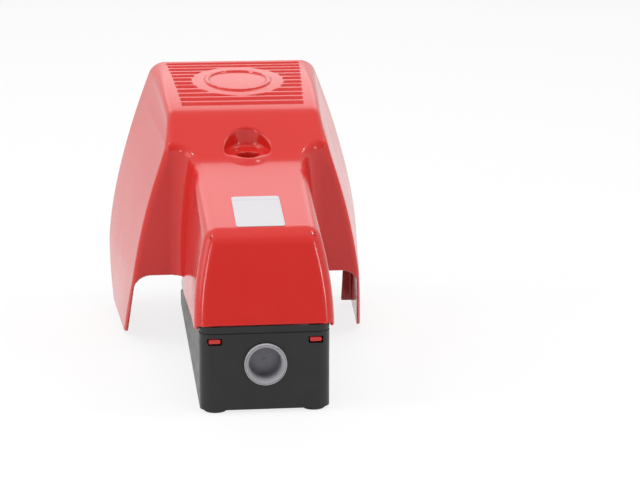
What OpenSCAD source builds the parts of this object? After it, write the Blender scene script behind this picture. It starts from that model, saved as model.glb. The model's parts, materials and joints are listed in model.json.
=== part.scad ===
// Guarded industrial foot switch: a black base tray, a cast hood that covers the foot,
// and a sprung pedal that pushes the plungers of two contact blocks.
// X is the width, Y runs from the cable entry to the foot opening, Z is up.

/* [Base] */
// Width of the base tray
base_w = 72; // [68:0.5:76]
// Length of the base tray
base_l = 234; // [228:1:237]
// Wall of the base tray
base_wall = 3; // [2.5:0.1:3.5]
// Thickness of the tray floor
floor_t = 3.5; // [3:0.1:5]
// Height of the rear rim above the ground
rim_h = 49.5; // [48:0.5:51]
// Height of the tray's side where the skirt of the hood ends
mid_h = 29.5; // [28:0.5:31]
// Height of the tray at the foot opening
front_h = 8.6; // [7:0.2:10]
// Radius of the tray's upright corners
base_corner_r = 7; // [6:0.5:8]
// Height of the lip that stands inside the hood
lip_h = 4; // [2:0.5:5]

/* [Feet] */
// Diameter of a rubber foot
foot_d = 13.5; // [12:0.5:14]
// How far a foot stands below the tray
foot_h = 2; // [1.5:0.1:3]
// How deep a foot sits in the tray floor
foot_seat = 1.5; // [1:0.1:2]
// Distance of a foot's centre from the end of the tray
foot_inset = 8; // [7.5:0.5:10]
// Diameter of the four fixing holes
fixing_d = 5.5; // [4.5:0.1:6]

/* [Cable entry] */
// Outer diameter of the M20 blanking plug's thread
plug_d = 20; // [18:0.5:20]
// Diameter of the plug's flange
plug_flange_d = 23.5; // [22:0.5:26]
// Thickness of the plug's flange
plug_flange_t = 2.4; // [1.5:0.1:3]
// Length of the plug inside the tray
plug_l = 11; // [9:0.5:14]
// Diameter of the recess in the plug
plug_recess_d = 17; // [14:0.5:17]
// Height of the entry's centre above the ground
entry_h = 28; // [26:0.5:30]

/* [Hood] */
// Wall of the cast hood
hood_wall = 2.4; // [2:0.1:2.6]
// Half width of the hood's rear part at the skirt
skirt_x = 38.7; // [38.6:0.1:40]
// How much narrower the rear part is at its top, on each side
rear_lean_x = 11.5; // [9:0.5:13]
// How far the top of the rear wall leans forward
rear_lean_y = 10.5; // [8:0.5:13]
// Height of the label surface at its rear end
label_rear_h = 100; // [96:0.5:104]
// Height of the label surface at the foot of the slope
label_front_h = 119.5; // [117:0.5:121]
// Distance of the foot of the slope from the rear face
slope_foot_y = 108; // [106:0.5:109]
// Distance of the top of the slope from the rear face
slope_top_y = 140; // [136:0.5:143]
// Height of the roof at the top of the slope
roof_rear_h = 145; // [142:0.5:148]
// Height of the roof at the foot opening
roof_front_h = 160.5; // [157:0.5:164]
// Rise of the roof above a straight line
roof_bulge = 2; // [1:0.25:4]
// Distance of the foot opening's edge from the rear face
hood_front_y = 238.6; // [237.5:0.1:243]
// Half width of the foot opening at its widest
mouth_x = 81.8; // [80:0.2:86]
// Half width of the hood at the lower tip of its rear edge
wing_rear_x = 74.5; // [73:0.5:77]
// Height of the wing's lower edge above the ground
wing_gap = 2; // [1.5:0.1:4]
// Height of the rear wall's lower edge between the wings
tunnel_h = 46.5; // [45:0.5:48]
// Width of the stiffening lip inside the foot opening
mouth_lip_w = 6.5; // [4:0.5:8]
// Depth of a tread groove in the roof
groove_depth = 0.9; // [0.5:0.1:1.2]
// Number of tread grooves
groove_count = 12; // [8:1:14]

/* [Hood screw] */
// Distance of the screw's axis from the rear face
screw_y = 113.6; // [112.5:0.2:114.5]
// Diameter of the pocket round the screw hole
pocket_d = 27.8; // [26:0.2:29]
// Diameter of the screw hole
screw_hole_d = 12.7; // [12.3:0.1:14]
// Thread diameter of the hood screw
screw_d = 6; // [5:0.5:6]
// Diameter of the hood screw's head
screw_head_d = 10; // [9:0.5:11]

/* [Label] */
// Width of the bare label
label_w = 27; // [24:0.5:30]
// Length of the bare label
label_l = 41; // [36:0.5:44]

/* [Pedal] */
// Distance of the pivot from the rear face
pivot_y = 118; // [117:0.5:119]
// Height of the pivot
pivot_z = 46; // [45:0.5:48]
// Diameter of the pivot pin
pin_d = 8; // [6:0.5:8]
// Downward slope of the pedal at rest, in degrees
pedal_slope = 13.5; // [13:0.1:14]
// Travel of the pedal, in degrees
pedal_travel = 7; // [5:0.5:7]
// Length of the pedal in front of its pivot
pedal_l = 103; // [98:0.5:104]
// Width of the tread plate
tread_w = 63; // [60:0.5:64]
// Thickness of the lever's sheet steel
lever_t = 2.5; // [2:0.1:2.8]
// Number of ribs on the tread pad
pad_ribs = 14; // [8:1:16]

/* [Contact blocks] */
// Length of a contact block
block_l = 34; // [33:0.5:36]
// Inner half width of the mechanism frame
frame_x = 20; // [19.5:0.1:20.5]
// Thickness of the frame's sheet steel
frame_t = 2; // [1.5:0.1:2.4]
// Diameter of a plunger's stem
stem_d = 5; // [4:0.2:5.6]

/* [Springs] */
// Outer diameter of the pedal spring
spring_d = 16; // [14:0.5:18]
// Wire diameter of the pedal spring
spring_wire = 1.8; // [1.4:0.1:2.2]
// Turns of the pedal spring
spring_turns = 7; // [5:0.5:8]

/* [Hidden] */
$fn = 64;

// Clearances shared by the pieces
fit = 0.3;
running_fit = 0.06;
snug_fit = 0.04;
eps = 0.01;
far = 400;

// The origin lies under the middle of the whole switch
origin_y = (hood_front_y - plug_flange_t) / 2;
base_x = base_w / 2;
tray_z = foot_h;
floor_z = tray_z + floor_t;
inner_x = base_x - base_wall;

// Skirt of the hood and top edge of the tray's sides
skirt_drop = 1.5;
skirt_end_y = 163;
skirt_fall = (rim_h - skirt_drop - mid_h) / skirt_end_y;
function skirt_z(y) = rim_h - skirt_drop - skirt_fall * y;

// Wide part of the hood
slope_rise = (roof_rear_h - label_front_h) / (slope_top_y - slope_foot_y);
shoulder_z = roof_rear_h - 17;
wall_top_y = slope_foot_y + (shoulder_z - label_front_h) / slope_rise;
wall_foot_y = wall_top_y + 9;
wing_tip_y = wall_foot_y + 34;
wing_knee_z = tunnel_h - 2.5;
label_rise = (label_front_h - label_rear_h) / (slope_foot_y - rear_lean_y);
label_angle = atan(label_rise);
function label_z(y) = label_rear_h + label_rise * (y - rear_lean_y);
function mix(a, b, k) = a + (b - a) * k;

// Top of the mechanism frame and the hood screw's seat over it
frame_top_z = 103.7;
seat_z = frame_top_z + 3.3;
washer_t = 1.2;
washer_d = screw_hole_d - 0.7;
screw_head_h = 4.5;
boss_d = screw_hole_d + 7.3;
nut_h = 5;
screw_bore_d = screw_d + 0.6;

// Mechanism frame
pad_z = floor_z + 4;
frame_rear_y = 64;
frame_front_y = 130;
frame_head_y = 100;
frame_outer_x = frame_x + frame_t;
frame_foot_w = 11;
frame_screw_x = frame_x - 6;
frame_screw_ys = [frame_rear_y + 8, frame_front_y - 8];
frame_screw_d = 4;
earth_y = frame_rear_y - 8;
rest_bar_d = 8;

// Pedal
pin_half_l = 31;
flange_x = 26.5;
flange_outer_x = flange_x + lever_t;
web_v = pin_d / 2 + 1.2;
web_top_v = web_v + lever_t;
web_rear_u = 16;
tongue_x = 15.5;
tongue_u = -41;
rest_u = -20;
hub_r = 9;
bush_d = pin_d + 4;
tread_t = 1.8;
tread_rear_u = web_rear_u - 2;
tread_rim = 3;
pad_t = 2;
rib_h = 1.2;
rivet_d = 4;
rivet_us = [34, 86];
rivet_x = 19;

// Plungers and contact blocks
actuator_u = -34.5;
dome_r = 3;
actuator_v = web_top_v + 1.8;
function turned_y(u, v, a) = pivot_y + u * cos(a) + v * sin(a);
function turned_z(u, v, a) = pivot_z - u * sin(a) + v * cos(a);
dome_rest_z = turned_z(actuator_u, actuator_v, pedal_slope) + dome_r;
dome_end_z = turned_z(actuator_u, actuator_v, pedal_slope + pedal_travel) + dome_r;
plunger_travel = dome_end_z - dome_rest_z;
plunger_y = mix(turned_y(actuator_u, actuator_v, pedal_slope),
    turned_y(actuator_u, actuator_v, pedal_slope + pedal_travel), 0.5);
plunger_foot_z = dome_rest_z + fit;
plunger_foot_h = 1.5;
plunger_foot_d = stem_d + 2;
block_z = plunger_foot_z + plunger_foot_h + plunger_travel + fit;
block_gap = 0.2;
block_w = frame_x - 1.5 * block_gap;
block_x = block_gap / 2 + block_w / 2;
neck_h = 4;
neck_l = 15;
cavity_z = 6;
cavity_l = 20;
cavity_w = 13;
cavity_top_z = 24;
shoulder_h = 22;
tower_l = cavity_l + 4;
tower_h = 29;
carriage_h = 4;
carriage_z = cavity_z + fit;
spigot_d = 4;
spigot_top_z = cavity_top_z - plunger_travel - fit;
bridge_t = 0.8;
bridge_z = carriage_z + carriage_h;
bridge_l = 18;
bridge_w = 10;
strip_t = 0.7;
strip_w = 4;
strip_x = 3;
strip_reach = 7;
low_strip_z = bridge_z - fit - strip_t;
high_strip_z = bridge_z + bridge_t + plunger_travel + fit;
riser_y = tower_l / 2 - 0.6;
terminal_y = tower_l / 2 + 2.6;
terminal_d = 2;
bolt_d = 4;
bolt_y = block_l / 2 - 3.6;
bolt_z = neck_h + 3.2;

// Pedal spring and its seat, and the bumper under the lever
spring_u = 32;
spring_y = turned_y(spring_u, web_v, pedal_slope);
spring_foot_z = floor_z + 2;
spring_seat_h = 3.2;
spring_seat_z = turned_z(spring_u, web_v, pedal_slope) - spring_seat_h;
peg_d = spring_d - 2 * spring_wire - 1;
bumper_u = 80;
bumper_y = turned_y(bumper_u, web_v, pedal_slope + pedal_travel);
bumper_d = 12;
bumper_top_z = turned_z(bumper_u, web_v, pedal_slope + pedal_travel)
    - bumper_d / 2 * tan(pedal_slope + pedal_travel) - fit;
bumper_h = 6;

// Hooks of the hood in the tray's rear wall
hook_x = 27.8;
hook_z = 41;
slot_w = 8.3;
slot_h = 3.9;
tab_w = slot_w - 1.4;
tab_h = slot_h - 0.8;

module placed() translate([0, -origin_y, 0]) children();
module mirrored() {
    children();
    mirror([1, 0, 0]) children();
}
// Extrudes an outline drawn in Y and Z from x = a to x = b
module side_slab(a, b) translate([a, 0, 0]) rotate([90, 0, 90]) linear_extrude(b - a) children();
module on_pedal() translate([0, pivot_y, pivot_z]) rotate([-pedal_slope, 0, 0]) children();
module at_block(side) translate([side * block_x, plunger_y, block_z]) children();
module x_rod(r, x) rotate([0, 90, 0]) cylinder(r = r, h = 2 * x, center = true);

// Skins a stack of outlines that have the same number of points
module skin(loops) {
    n = len(loops[0]);
    last = len(loops) - 1;
    points = [for (loop = loops) each loop];
    walls = [for (k = [0 : last - 1], i = [0 : n - 1]) let (a = k * n + i, b = k * n + (i + 1) % n)
        each [[a, b, a + n], [b, b + n, a + n]]];
    back = [for (i = [0 : n / 2 - 2]) each [[i, n - 1 - i, i + 1], [i + 1, n - 1 - i, n - 2 - i]]];
    front = [for (f = back) [for (i = [2, 1, 0]) f[i] + last * n]];
    polyhedron(points, concat(walls, back, front));
}
// Adds the mirrored half to a half outline that runs from the lower edge to the roof
function whole(half) = concat(half, [for (i = [len(half) - 1 : -1 : 0]) [-half[i].x, half[i].y, half[i].z]]);
// Quadratic arc from a to c that is drawn towards b
function arc(a, b, c, steps) = [for (i = [1 : steps]) let (k = i / steps)
    (1 - k) * (1 - k) * a + 2 * k * (1 - k) * b + k * k * c];

// Half width of the hood's front edge and of its rear edge at height z
mouth_belly_z = 43;
mouth_draw = 30.6;
mouth_curve = 1.57;
edge_tuck = 17;
wing_curl = 15.5;
function mouth_half(z) = let (k = (z - mouth_belly_z) / (roof_front_h - mouth_belly_z))
    mouth_x - (k > 0 ? mouth_draw * pow(k, mouth_curve) : edge_tuck * k * k);
function wing_half(z) = let (k = (z - wing_gap) / (roof_rear_h - wing_gap))
    wing_rear_x - edge_tuck * k - wing_curl * pow(k, 3);
function slope_y(z) = slope_foot_y + (z - label_front_h) / slope_rise;
function wing_y(z) = z < wing_knee_z ? mix(wing_tip_y, wall_foot_y, (z - wing_gap)
    / (wing_knee_z - wing_gap))
    : z < shoulder_z ? mix(wall_foot_y, wall_top_y, (z - wing_knee_z) / (shoulder_z - wing_knee_z))
    : slope_y(z);
roof_flat_rear = 36;
roof_flat_front = 42;
crown_rear = 7;
crown_front = 10.5;
arc_steps = 4;
wing_rows = concat([for (i = [0 : 2]) mix(wing_gap, wing_knee_z, i / 3)],
    [for (i = [0 : 4]) mix(wing_knee_z, shoulder_z, i / 5)],
    [for (i = [0 : 2]) mix(shoulder_z, roof_rear_h - crown_rear, i / 2)]);
// Half outlines of the rear and front edges, moved inwards by e
function rear_half(e, edge_in, edge_y) = let (
        cut = e > 0 ? 1 : 0,
        back = e * 1.6,
        top = roof_rear_h - e,
        rows = [for (z = wing_rows) let (zz = min(z, top - crown_rear), shift = z > shoulder_z ? back : e)
            [wing_half(zz) - e - edge_in, wing_y(z) + shift + edge_y, z == wing_gap ? z - cut : zz]],
        start = rows[len(rows) - 1],
        lean = (wing_half(top - crown_rear) - wing_half(top)) * 0.95,
        corner = [start.x - lean, start.y + crown_rear / slope_rise / 2, top - edge_in],
        end = [roof_flat_rear - e, slope_y(top) + back + edge_y, top - edge_in])
    concat(rows, arc(start, corner, end, arc_steps));
function front_half(e) = let (
        cut = e > 0 ? 1 : 0,
        top = roof_front_h - e,
        reach = (roof_front_h - crown_front - wing_gap) / (roof_rear_h - crown_rear - wing_gap),
        rows = [for (z = wing_rows) let (zz = min(wing_gap + (z - wing_gap) * reach, top - crown_front))
            [mouth_half(zz) - e, hood_front_y + cut, z == wing_gap ? z - cut : zz]],
        start = rows[len(rows) - 1],
        corner = [mouth_half(top) - e, hood_front_y + cut, top],
        end = [roof_flat_front - e, hood_front_y + cut, top])
    concat(rows, arc(start, corner, end, arc_steps));
// Share of the roof's bulge that a row takes
function crown(i) = max(0, (i - len(wing_rows) + 1) / arc_steps);
edge_r = 3;
module wide_form(e) {
    r = max(0, edge_r - e);
    rim = [for (a = [0, 45]) rear_half(e, r * (1 - sin(a)), r * (1 - cos(a)))];
    start = rear_half(e, 0, r);
    end = front_half(e);
    body = [for (k = [0 : 0.25 : 1]) [for (i = [0 : len(start) - 1])
        mix(start[i], end[i], k) + [0, 0, roof_bulge * 4 * k * (1 - k) * crown(i)]]];
    skin([for (half = concat(rim, body)) whole(half)]);
}

// Rear part of the hood, which narrows towards the label surface
side_rows = 6;
side_curve = 1.35;
top_rear_x = skirt_x - rear_lean_x;
top_foot_x = 30;
shoulder_x = 35;
edge_big_r = 7;
function narrow_half(y, top, top_x, e, edge_in, edge_y) = let (
        peak = top - e - edge_in,
        side = [for (i = [0 : side_rows]) let (k = i / side_rows, z = mix(skirt_z(y), top - e - 7, k),
            full = (z - skirt_z(y)) / (top - skirt_z(y)))
            [skirt_x - (skirt_x - top_x + 0.8) * pow(full, side_curve) - e - edge_in,
             y + edge_y + (y < eps + e ? rear_lean_y * max(0, z - rim_h) / (label_rear_h - rim_h) : 0), z]],
        // The inner form runs straight down past the edge of the skirt
        foot = e > 0 ? [[side[0].x, side[0].y, -1]] : [],
        start = side[side_rows],
        corner = [start.x - 2.6, start.y, peak],
        end = [top_x - e - edge_in - 7, start.y, peak])
    concat(foot, side, arc(start, corner, end, arc_steps));
module narrow_form(e) {
    r = edge_big_r - e;
    drop = e / cos(atan(slope_rise)) - e;
    rim = [for (a = [0, 30, 60, 90]) narrow_half(e, label_rear_h, top_rear_x, e, r * (1 - sin(a)),
        r * (1 - cos(a)))];
    body = [narrow_half(slope_foot_y, label_front_h, top_foot_x, e, 0, 0),
        narrow_half(wall_top_y + 0.6, shoulder_z + 0.6 * slope_rise - 0.2 - drop, shoulder_x, e, 0, 0),
        narrow_half(skirt_end_y + 7, roof_rear_h - 8, shoulder_x + 3, e, 0, 0)];
    skin([for (half = concat(rim, body)) whole(half)]);
}

// Roof grooves, the smooth disc among them and the raised ring on it
groove_w = 3.2;
groove_first_y = 151;
groove_last_y = hood_front_y - 7.6;
disc_d = 57;
ring_outer_d = 41.7;
ring_inner_d = 35.7;
ring_y = 192;
function roof_share(y) = (y - slope_top_y) / (hood_front_y - slope_top_y);
function roof_z(y) = let (k = roof_share(y)) mix(roof_rear_h, roof_front_h, k)
    + roof_bulge * 4 * k * (1 - k);
function roof_angle(y) = atan((roof_z(y + 1) - roof_z(y - 1)) / 2);
module on_roof(y) translate([0, y, roof_z(y)]) rotate([roof_angle(y), 0, 0]) children();
module ring_on_roof() on_roof(ring_y) difference() {
    translate([0, 0, -1]) cylinder(d = ring_outer_d, h = 1 + groove_depth);
    translate([0, 0, -2]) cylinder(d = ring_inner_d, h = 4);
}
module roof_grooves() difference() {
    for (i = [0 : groove_count - 1]) {
        k = i / (groove_count - 1);
        on_roof(mix(groove_first_y, groove_last_y, k))
            cube([2 * mix(roof_flat_rear, roof_flat_front, k), groove_w, 2 * groove_depth], center = true);
    }
    on_roof(ring_y) cylinder(d = disc_d, h = 12, center = true);
}

// Parts of the hood's inside that stay solid: the pocket's wall and the lip inside the mouth
module inner_solids() {
    translate([0, screw_y, label_z(screw_y) - pocket_d / 2 * label_rise - hood_wall - 1])
        cylinder(d = pocket_d + 2 * hood_wall, h = 60);
    intersection() {
        translate([-far / 2, hood_front_y - 17, wing_gap]) cube([far, 3, far]);
        difference() {
            translate([-far / 2, 0, 0]) cube(far);
            wide_form(hood_wall + mouth_lip_w);
        }
    }
}
// Room under the rear wall on either side of the tray
leg_t = 2;
module tunnel() {
    leg_x = wing_half(wing_gap) - leg_t;
    knee_x = wing_half(24) - leg_t;
    translate([0, wing_tip_y + 10, 0]) rotate([90, 0, 0]) linear_extrude(60)
        polygon([[skirt_x - eps, -1], [skirt_x - eps, tunnel_h], [knee_x - 10, tunnel_h], [knee_x - 5,
            tunnel_h - 1.8],
            [knee_x - 1.2, tunnel_h - 8], [knee_x, 24], [leg_x, -1]]);
}
hook_arm_y = base_wall + fit;
hook_arm_t = 2.4;
module hood_hooks() mirrored() translate([hook_x, 0, 0]) {
    translate([-tab_w / 2, hook_arm_y, hook_z - tab_h / 2]) cube([tab_w, hook_arm_t, rim_h - hook_z + 8]);
    translate([-tab_w / 2, hood_wall / 2, rim_h + 2]) cube([tab_w, hook_arm_y +
        hook_arm_t - hood_wall / 2, 5]);
    translate([-tab_w / 2, 0.8, hook_z - tab_h / 2]) cube([tab_w, hook_arm_y, tab_h]);
}
module skirt_tongues() mirrored() side_slab(skirt_x - hood_wall + fit, skirt_x)
    polygon([[wall_foot_y - 3, skirt_z(wall_foot_y - 3)], [skirt_end_y, skirt_z(skirt_end_y)],
        [skirt_end_y, skirt_z(skirt_end_y) + 5], [wall_foot_y + 8, tunnel_h + 1], [wall_foot_y - 3,
            tunnel_h + 3]]);

// Screw pillar with a raised rim round its mouth, tilted like the label surface
pillar_rim = 0.6;
module screw_pillar() difference() {
    translate([0, screw_y, frame_top_z]) cylinder(d = boss_d, h = 40);
    translate([0, screw_y, label_z(screw_y) + pillar_rim]) rotate([label_angle, 0, 0])
        translate([-boss_d, -boss_d, 0]) cube([2 * boss_d, 2 * boss_d, 60]);
}
module hood_shell() difference() {
    union() {
        wide_form(0);
        narrow_form(0);
        skirt_tongues();
        ring_on_roof();
    }
    difference() {
        union() {
            wide_form(hood_wall);
            narrow_form(hood_wall);
        }
        inner_solids();
        skirt_tongues();
    }
    intersection() {
        translate([0, screw_y, label_z(screw_y) - far / 4]) cylinder(d = pocket_d, h = far);
        translate([0, screw_y, label_z(screw_y)]) rotate([label_angle, 0, 0])
            translate([-far / 2, -far / 2, 0]) cube(far);
    }
    side_slab(-mouth_x + 22, mouth_x - 22)
        polygon([[90, -5], [90, skirt_z(90)], [skirt_end_y + 6, skirt_z(skirt_end_y + 6)],
            [skirt_end_y + 6, -5]]);
    mirrored() tunnel();
    translate([-skirt_x + hood_wall, -1, 0])
        cube([2 * (skirt_x - hood_wall), edge_big_r + 1, rim_h + skirt_drop / 10]);
    roof_grooves();
}
// The cast skin is brought to its stated width as one piece
module hood_skin() resize([2 * mouth_x, 0, 0]) difference() {
    union() {
        hood_shell();
        screw_pillar();
    }
    translate([0, screw_y, seat_z]) cylinder(d = screw_hole_d, h = far);
    translate([0, screw_y, 0]) cylinder(d = screw_bore_d, h = far);
}
module hood() color([0.78, 0.1, 0.08]) placed() {
    hood_skin();
    hood_hooks();
}

// Base tray, with a shadow groove under the band along its rear rim
rim_band_h = 4.2;
shadow_h = 0.9;
shadow_depth = 0.6;
module tray_outline(inset) translate([-base_x + inset, inset]) {
    r = max(base_corner_r - 1.5 * inset, 0.5);
    w = base_w - 2 * inset;
    l = base_l - 2 * inset;
    translate([r, 0]) square([w - 2 * r, l]);
    translate([0, r]) square([w, l - 2 * r]);
    for (x = [r, w - r], y = [r, l - r]) translate([x, y]) circle(r);
}
lip_x = inner_x + 0.6;
lip_t = 2;
module tray_bosses() {
    for (y = frame_screw_ys) mirrored() translate([frame_screw_x, y, floor_z - eps])
        cylinder(d = frame_screw_d + 6, h = pad_z - floor_z + eps);
    translate([frame_screw_x, earth_y, floor_z - eps]) cylinder(d = frame_screw_d + 6, h =
        pad_z - floor_z + eps);
    translate([0, spring_y, floor_z - eps]) cylinder(d = spring_d + 4, h = spring_foot_z - floor_z + eps);
    translate([0, spring_y, floor_z]) cylinder(d = peg_d, h = 7);
    translate([0, bumper_y, floor_z - eps]) cylinder(d = bumper_d + 2, h =
        bumper_top_z - bumper_h - floor_z + eps);
    for (y = [foot_inset, base_l - foot_inset]) mirrored()
        translate([base_x - foot_inset - 0.7, y, tray_z]) cylinder(d = fixing_d + 6.5, h = floor_t + 3);
    translate([0, base_wall - eps, entry_h]) rotate([-90, 0, 0]) cylinder(d = plug_d + 8, h = 6);
}
module tray_ribs() {
    for (y = [30 : 24 : 222]) translate([-inner_x - eps, y, floor_z - eps])
        cube([2 * (inner_x + eps), 1.6, 2]);
    mirrored() for (y = [22 : 28 : 218]) translate([inner_x - 1.2, y, floor_z - eps])
        cube([1.3, 2, 3.4]);
}
module base_housing() color([0.13, 0.12, 0.13]) placed() difference() {
    union() {
        difference() {
            intersection() {
                translate([0, 0, tray_z]) linear_extrude(rim_h) tray_outline(0);
                side_slab(-base_x, base_x) polygon([[-1, tray_z], [-1, rim_h], [0, rim_h],
                    [skirt_end_y, mid_h + 1], [base_l, front_h], [base_l + 1, front_h], [base_l + 1,
                        tray_z]]);
            }
            translate([0, 0, floor_z]) linear_extrude(rim_h) tray_outline(base_wall);
        }
        difference() {
            side_slab(-lip_x, lip_x) polygon([[12, rim_h - 12], [12, rim_h + lip_h - 1.4],
                [skirt_end_y - 12, mid_h + lip_h + 2], [skirt_end_y - 4, mid_h + 1], [skirt_end_y - 4,
                    mid_h - 6]]);
            side_slab(-lip_x + lip_t, lip_x - lip_t) square([far, far]);
        }
        tray_bosses();
        tray_ribs();
    }
    translate([0, -1, entry_h]) rotate([-90, 0, 0]) cylinder(d = plug_d + 2 * snug_fit, h = 14);
    mirrored() translate([hook_x - slot_w / 2, -1, hook_z - slot_h / 2])
        cube([slot_w, base_wall + 2, slot_h]);
    mirrored() for (y = [foot_inset, base_l - foot_inset]) translate([base_x - foot_inset - 0.7, y, 0]) {
        translate([0, 0, tray_z - 1]) cylinder(d = foot_d + 2 * snug_fit, h = foot_seat + 1);
        cylinder(d = fixing_d, h = 20);
    }
    // Shadow groove under the rear rim
    translate([0, 0, rim_h - rim_band_h]) linear_extrude(shadow_h) difference() {
        translate([-base_x - 1, -1]) square([base_w + 2, base_corner_r + 2]);
        tray_outline(shadow_depth);
    }
    for (y = frame_screw_ys) mirrored() translate([frame_screw_x, y, floor_z - 1])
        cylinder(d = frame_screw_d + 2 * snug_fit, h = 20);
    translate([frame_screw_x, earth_y, floor_z - 1]) cylinder(d = frame_screw_d + 2 * snug_fit, h = 20);
    translate([0, bumper_y, bumper_top_z - bumper_h - 6]) cylinder(d = 5 + 2 * snug_fit, h = 20);
}
module base_feet() color([0.09, 0.09, 0.09]) placed()
    mirrored() for (y = [foot_inset, base_l - foot_inset]) translate([base_x - foot_inset - 0.7, y, 0])
        difference() {
            union() {
                translate([0, 0, 0.6]) cylinder(d = foot_d, h = foot_h + foot_seat - 0.6);
                cylinder(d1 = foot_d - 1.2, d2 = foot_d, h = 0.6 + eps);
            }
            translate([0, 0, -1]) cylinder(d = fixing_d + 1, h = 10);
        }
module entry_plug() color([0.72, 0.72, 0.74]) placed() translate([0, 0, entry_h])
    rotate([-90, 0, 0]) difference() {
    union() {
        translate([0, 0, -plug_flange_t]) cylinder(d = plug_flange_d, h = plug_flange_t);
        cylinder(d = plug_d, h = plug_l);
    }
    translate([0, 0, -plug_flange_t - 1]) cylinder(d = plug_recess_d, h = plug_l + plug_flange_t - 0.5);
    translate([0, 0, -plug_flange_t - 1]) difference() {
        cylinder(d = plug_flange_d - 1.6, h = 1.5);
        cylinder(d = plug_recess_d + 1.6, h = 1.5);
    }
}

// Label and hood screw
module label_plate() color("white") placed() translate([0, rear_lean_y, label_rear_h])
    rotate([label_angle, 0, 0])
    translate([-label_w / 2 - 0.7, 7, 0]) linear_extrude(0.3) {
        translate([2, 0]) square([label_w - 4, label_l]);
        translate([0, 2]) square([label_w, label_l - 4]);
        for (x = [2, label_w - 2], y = [2, label_l - 2]) translate([x, y]) circle(2);
    }
module hood_washer() color("silver") placed() translate([0, screw_y, seat_z]) difference() {
    cylinder(d = washer_d, h = washer_t);
    translate([0, 0, -1]) cylinder(d = screw_bore_d, h = 4);
}
module hood_screw() color("silver") placed() translate([0, screw_y, 0]) {
    translate([0, 0, frame_top_z - frame_t - nut_h - 3])
        cylinder(d = screw_d, h = seat_z + washer_t - frame_top_z + frame_t + nut_h + 3);
    translate([0, 0, seat_z + washer_t]) difference() {
        union() {
            cylinder(d = screw_head_d, h = screw_head_h - 1);
            translate([0, 0, screw_head_h - 1]) cylinder(d1 = screw_head_d, d2 = screw_head_d - 2, h = 1);
        }
        translate([0, 0, 1.5]) cylinder(d = 5, h = 10, $fn = 6);
    }
}
module hood_nut() color("silver") placed() translate([0, screw_y, frame_top_z - frame_t - nut_h])
    difference() {
        cylinder(d = 11.5, h = nut_h, $fn = 6);
        translate([0, 0, -1]) cylinder(d = screw_d + 2 * snug_fit, h = nut_h + 2);
    }

// Mechanism frame: two side plates with feet and a bridge on top
module frame_side() difference() {
    side_slab(frame_x, frame_outer_x) polygon([[frame_rear_y, pad_z], [frame_front_y, pad_z],
        [frame_front_y, pivot_z + 12], [screw_y + 13, frame_top_z - 10], [screw_y + 13, frame_top_z],
        [frame_head_y, frame_top_z], [frame_head_y, frame_top_z - 6], [frame_rear_y + 2, frame_top_z - 6],
        [frame_rear_y, pivot_z]]);
    side_slab(frame_x - 1, frame_outer_x + 1) {
        translate([pivot_y, pivot_z]) circle(d = pin_d + 2 * snug_fit);
        translate([frame_rear_y + 22, pad_z + 20]) circle(d = 20);
    }
}
module at_bolts() for (side = [-1, 1]) translate([0, plunger_y + side * bolt_y, block_z + bolt_z])
    children();
module mechanism_frame() color([0.72, 0.73, 0.74]) placed() difference() {
    union() {
        mirrored() frame_side();
        mirrored() translate([frame_x - frame_foot_w, frame_rear_y, pad_z])
            cube([frame_foot_w + eps, frame_front_y - frame_rear_y, frame_t]);
        translate([frame_x - frame_foot_w, earth_y - 7, pad_z]) cube([frame_foot_w, 16, frame_t]);
        translate([-frame_x - eps, frame_head_y, frame_top_z - frame_t])
            cube([2 * (frame_x + eps), screw_y + 13 - frame_head_y, frame_t]);
    }
    for (y = frame_screw_ys) mirrored() translate([frame_screw_x, y, 0])
        cylinder(d = frame_screw_d + 0.4, h = 20);
    translate([frame_screw_x, earth_y, 0]) cylinder(d = frame_screw_d + 0.4, h = 20);
    translate([0, screw_y, 50]) cylinder(d = screw_bore_d, h = 60);
    at_bolts() x_rod(bolt_d / 2 + snug_fit, 30);
    rest_bar_place() x_rod(rest_bar_d / 2 - 1 + snug_fit, 30);
}
module pan_screw(d, head_d, head_h, l) {
    translate([0, 0, -l]) cylinder(d = d, h = l);
    difference() {
        cylinder(d1 = head_d, d2 = head_d - 0.8, h = head_h);
        for (a = [0, 90]) rotate([0, 0, a]) translate([-head_d / 3, -0.4, head_h - 0.9])
            cube([head_d / 1.5, 0.8, 2]);
    }
}
module frame_screws() color("silver") placed() for (y = frame_screw_ys) mirrored()
    translate([frame_screw_x, y, pad_z + frame_t]) pan_screw(frame_screw_d, 7.5, 2.6, frame_t + 4.5);
clamp_t = 1.2;
module on_earth_pad() translate([frame_screw_x, earth_y, pad_z + frame_t]) children();
module earth_clamp() color([0.8, 0.65, 0.25]) placed() on_earth_pad() difference() {
    union() {
        translate([-4.5, -4.5, 0]) cube([9, 9, clamp_t]);
        mirrored() translate([3.3, -4.5, 0]) cube([1.2, 9, 3]);
    }
    translate([0, 0, -1]) cylinder(d = frame_screw_d + 0.4, h = 5);
}
module earth_screw() color([0.8, 0.65, 0.25]) placed() translate([frame_screw_x, earth_y, pad_z +
    frame_t + clamp_t])
    pan_screw(frame_screw_d, 6, 2.6, frame_t + clamp_t + 4.5);

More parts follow.
